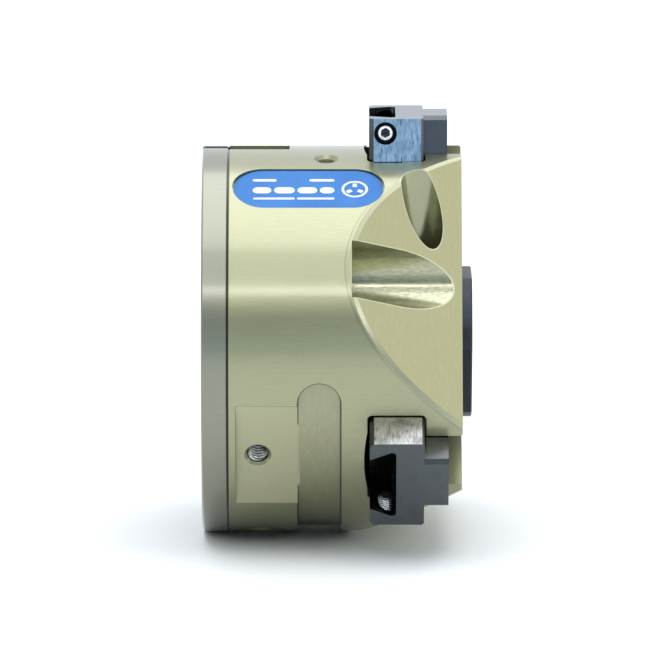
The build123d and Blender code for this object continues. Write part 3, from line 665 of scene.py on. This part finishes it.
def loft(bm, rings, loop=False):
    """Joins rings of points, each with the same count, into a closed skin.

    The ends get flat faces, or, with loop, the last ring is joined to the first.
    """
    rows = [[bm.verts.new(point) for point in ring] for ring in rings]
    count = len(rows[0])
    following = rows[1:] + rows[:1] if loop else rows[1:]
    for low, high in zip(rows, following):
        for i in range(count):
            j = (i + 1) % count
            bm.faces.new((low[i], low[j], high[j], high[i]))
    if not loop:
        bm.faces.new(rows[0])
        bm.faces.new(reversed(rows[-1]))


def circle(radius, z):
    """Points on a circle. radius may be a number or a function of the angle."""
    points = []
    for i in range(SEGMENTS):
        turn = 2 * math.pi * i / SEGMENTS
        reach = radius(turn) if callable(radius) else radius
        points.append((reach * math.cos(turn), reach * math.sin(turn), z))
    return points


def hexagon(width, z):
    """The outline of a hexagon of that width across flats, with as many points as a circle."""

    def reach(turn):
        return width / 2 / math.cos((turn % (math.pi / 3)) - math.pi / 6)

    return circle(reach, z)


def thread(crest, root, pitch, low, high):
    """Rings of a helical thread from low to high."""
    rings = []
    count = int((high - low) / pitch * STEPS_PER_TURN) + 1
    for k in range(count):
        z = low + k * pitch / STEPS_PER_TURN

        def reach(turn, z=z):
            phase = ((z / pitch - turn / (2 * math.pi)) % 1.0) * 2 - 1
            return crest + (root - crest) * min(1.0, max(0.0, 1.13 - 1.25 * abs(phase)))

        rings.append(circle(reach, z))
    return rings


def threaded_bore(core, depth, pitch, bite):
    """A builder for the threaded lining of a hole that opens towards +Z at z 0."""

    def build(bm):
        inner = thread(core - bite, core - 0.01, pitch, -depth, -0.25)
        backing = [circle(core - 0.012, 0.0), circle(core - 0.003, 0.0), circle(core - 0.003, -depth)]
        loft(bm, inner + backing, loop=True)

    return build


def set_screw(length, radius=1.49, pitch=0.5, socket=1.5):
    """A builder for a cone-edged set screw, with its socket at +Z and its tip at 0."""

    def build(bm):
        rings = [circle(0.4, 0.0), circle(radius - 0.45, 0.0)]
        rings += thread(radius, radius - 0.27, pitch, 0.35, length - 0.3)
        rings += [circle(radius - 0.05, length - 0.1), circle(radius - 0.12, length)]
        rings += [circle(socket / 2 + 0.2, length), hexagon(socket, length - 0.14)]
        rings += [hexagon(socket, length - 1.3), circle(0.15, length - 1.55)]
        loft(bm, rings)

    return build


def add_set_screws():
    """The clamping screws in the jaws, with real threads and sockets."""
    for number, angle in enumerate(JAW_ANGLES, 1):
        place = SET_SCREW_R * outward(angle) + SET_SCREW_TIP * sideways(angle) + on_axis(SET_SCREW_X)
        matrix = frame_at(place, sideways(angle), outward(angle))
        material = set_screw_steel(f"set_screw_steel_{number}", angle)
        builder = set_screw(SET_SCREW_LENGTH / MM)
        name = f"jaw_{number}_set_screw_detail"
        piece = add_piece(name, builder, matrix, f"jaw_{number}", material)
        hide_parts(f"jaw_{number}_set_screw")


def add_threads():
    """Thread linings in the air ports and the finger screw holes."""
    for name, (angle, x, face) in PORTS.items():
        mouth = (face - PORT_CHAMFER) * outward(angle) + on_axis(x)
        matrix = frame_at(mouth, outward(angle), X_AXIS)
        builder = threaded_bore(core=2.1, depth=6.5, pitch=0.8, bite=0.42)
        material = port_thread_metal(f"port_{name}_thread_metal", x, angle)
        add_piece(f"port_{name}_thread", builder, matrix, "body", material)
    for number, angle in enumerate(JAW_ANGLES, 1):
        for hole, radius in enumerate(FINGER_RADII, 1):
            mouth = radius * outward(angle) + on_axis(SLEEVE_FLOOR_X)
            matrix = frame_at(mouth, X_AXIS, outward(angle))
            builder = threaded_bore(core=1.65, depth=5.8, pitch=0.7, bite=0.22)
            name = f"jaw_{number}_finger_thread_{hole}"
            add_piece(name, builder, matrix, f"jaw_{number}", DARK_THREAD)


# Marks on the name plate, in millimetres from its middle: each bar's x, y, width and height
BARS = (
    (-8.9, -0.35, 3.6, 1.9),
    (-4.6, -0.35, 4.0, 1.9),
    (-0.2, -0.35, 3.8, 1.9),
    (3.6, -0.35, 2.8, 1.9),
    (-8.4, 2.75, 4.6, 0.75),
    (2.6, 2.75, 4.8, 0.75),
    (-6.6, -2.9, 8.0, 0.6),
    (1.4, -2.9, 7.2, 0.6),
)
PRINT_T = 0.03
PICTOGRAM_X = 8.9
PICTOGRAM_RING = (2.05, 2.55)
PICTOGRAM_JAW = (0.7, 1.75)
PICTOGRAM_JAW_HALF = 0.42
ARC_STEPS = 8


def print_patch(bm, points):
    """A thin raised patch of print with that outline."""
    low = [bm.verts.new((x, y, 0.0)) for x, y in points]
    high = [bm.verts.new((x, y, PRINT_T)) for x, y in points]
    count = len(points)
    bm.faces.new(reversed(low))
    bm.faces.new(high)
    for i in range(count):
        j = (i + 1) % count
        bm.faces.new((low[i], low[j], high[j], high[i]))


def print_bar(bm, x, y, width, height):
    """A bar with round ends, given by its middle."""
    half = height / 2
    points = []
    for side in (1, -1):
        for step in range(ARC_STEPS + 1):
            turn = math.radians(-90 * side + 180 * step / ARC_STEPS)
            end = x + side * (width / 2 - half)
            points.append((end + half * math.cos(turn), y + half * math.sin(turn)))
    print_patch(bm, points)


def print_pictogram(bm):
    """A ring round three jaws, the gripper seen from its jaws' end."""
    inner, outer = PICTOGRAM_RING
    section = ((outer, 0.0), (outer, PRINT_T), (inner, PRINT_T), (inner, 0.0))
    rings = [[(PICTOGRAM_X + x, y, z) for x, y, z in circle(radius, z)] for radius, z in section]
    loft(bm, rings, loop=True)
    near, far = PICTOGRAM_JAW
    half = PICTOGRAM_JAW_HALF
    for angle in JAW_ANGLES:
        turn = math.radians(angle)
        along = Vector((math.cos(turn), math.sin(turn)))
        across = Vector((-along.y, along.x))
        ends = [(near, -half), (far, -half), (far, half), (near, half)]
        print_patch(bm, [tuple(Vector((PICTOGRAM_X, 0)) + a * along + b * across) for a, b in ends])


def add_plate_marks():
    """Plain white bars and a three-jaw pictogram on the name plate, in place of any lettering."""

    def build(bm):
        for bar in BARS:
            print_bar(bm, *bar)
        print_pictogram(bm)

    origin = on_axis(PLATE_X) + PLATE_R * outward(PLATE_ANGLE)
    matrix = frame_at(origin, outward(PLATE_ANGLE), X_AXIS)
    add_piece("name_plate_marks", build, matrix, "body", PRINT_WHITE)


DARK_THREAD = steel("thread_dark", colour(120, 122, 125), colour(84, 86, 90), edge=0.0)
PRINT_WHITE = printed("print_white", colour(245, 246, 248), colour(235, 238, 242), 0.4)

add_set_screws()
add_threads()
add_plate_marks()


# --- Stage, light and camera -----------------------------------------------------------------


def add_floor():
    """A plain pale floor that the body lies on."""
    half = 4.0
    z = CAD_BOX[0][2]
    mesh = bpy.data.meshes.new("floor")
    corners = [(-half, -half, z), (half, -half, z), (half, half, z), (-half, half, z)]
    mesh.from_pydata(corners, [], [(0, 1, 2, 3)])
    floor = bpy.data.objects.new("floor", mesh)
    bpy.context.scene.collection.objects.link(floor)
    s = Shader("floor_white")
    mottle = s.noise(12.0, detail=2.0)
    tone = s.mix(mottle, colour(248, 248, 248), colour(251, 251, 251))
    paint(floor, s.finish(tone, 0.7, 0.0))


def area_light(name, place, size, radiance, tint=(1, 1, 1), on_floor=True):
    """A rectangular light that faces the object, as bright as the radiance says.

    Without on_floor it is seen in glossy surfaces only, and leaves the floor's shadow alone.
    """
    data = bpy.data.lights.new(name, "AREA")
    data.shape = "RECTANGLE"
    data.size, data.size_y = size
    data.energy = math.pi * size[0] * size[1] * radiance
    data.color = tint
    light = bpy.data.objects.new(name, data)
    light.location = place
    light.rotation_euler = Vector(place).to_track_quat("Z", "Y").to_euler()
    light.visible_camera = False
    light.visible_diffuse = on_floor
    bpy.context.scene.collection.objects.link(light)


def add_lights():
    """Soft boxes overhead and at the jaws' end, and a strip and two glows that only gloss shows."""
    area_light("overhead", (0.0, 0.15, 2.0), (1.7, 2.5), 1.85, (0.97, 0.98, 1.0))
    area_light("strip", (0.0, -1.2, 0.9), (2.0, 0.09), 8.5, on_floor=False)
    area_light("upper_glow", (0.0, -1.25, 1.6), (2.0, 0.5), 0.7, on_floor=False)
    area_light("front_glow", (0.0, -1.6, 0.2), (2.4, 0.45), 0.45, (0.72, 0.93, 1.0), on_floor=False)
    area_light("right_fill", (1.7, -0.4, 1.1), (1.0, 1.0), 1.4)


def add_world():
    """A studio that is bright behind and above the object and darker low in front of it."""
    bright, dim = (0.94, 0.99, 1.05, 1.0), (0.22, 0.27, 0.33, 1.0)
    world = bpy.data.worlds.new("studio")
    bpy.context.scene.world = world
    world.use_nodes = True
    n = Nodes(world.node_tree)
    direction = n.coordinates.outputs["Generated"]
    front = n.ramp(n.dot(direction, (0, -1, 0)), -0.1, 0.6)
    low = n.ramp(n.dot(direction, (0, 0, 1)), 0.35, 0.85, 1.0, 0.0)
    tone = n.mix(n.both(front, low), bright, dim)
    background = world.node_tree.nodes["Background"]
    n.link(tone, background.inputs["Color"])
    background.inputs["Strength"].default_value = 1.0


def add_camera():
    """The photograph's view: square to the axis, raised nine degrees, from far away."""
    rise = math.radians(9)
    distance = 1.8
    up = Vector((0, math.sin(rise), math.cos(rise)))
    back = Vector((0, -math.cos(rise), math.sin(rise)))
    target = on_axis(25.1 * MM) + 1.11 * MM * up
    data = bpy.data.cameras.new("camera")
    data.sensor_width = 36.0
    data.lens = 501.2
    data.clip_start = 0.1
    data.clip_end = 30.0
    camera = bpy.data.objects.new("camera", data)
    camera.location = target + distance * back
    camera.rotation_euler = back.to_track_quat("Z", "Y").to_euler()
    bpy.context.scene.collection.objects.link(camera)
    bpy.context.scene.camera = camera


bpy.context.scene.view_settings.view_transform = "Standard"
add_floor()
add_lights()
add_world()
add_camera()
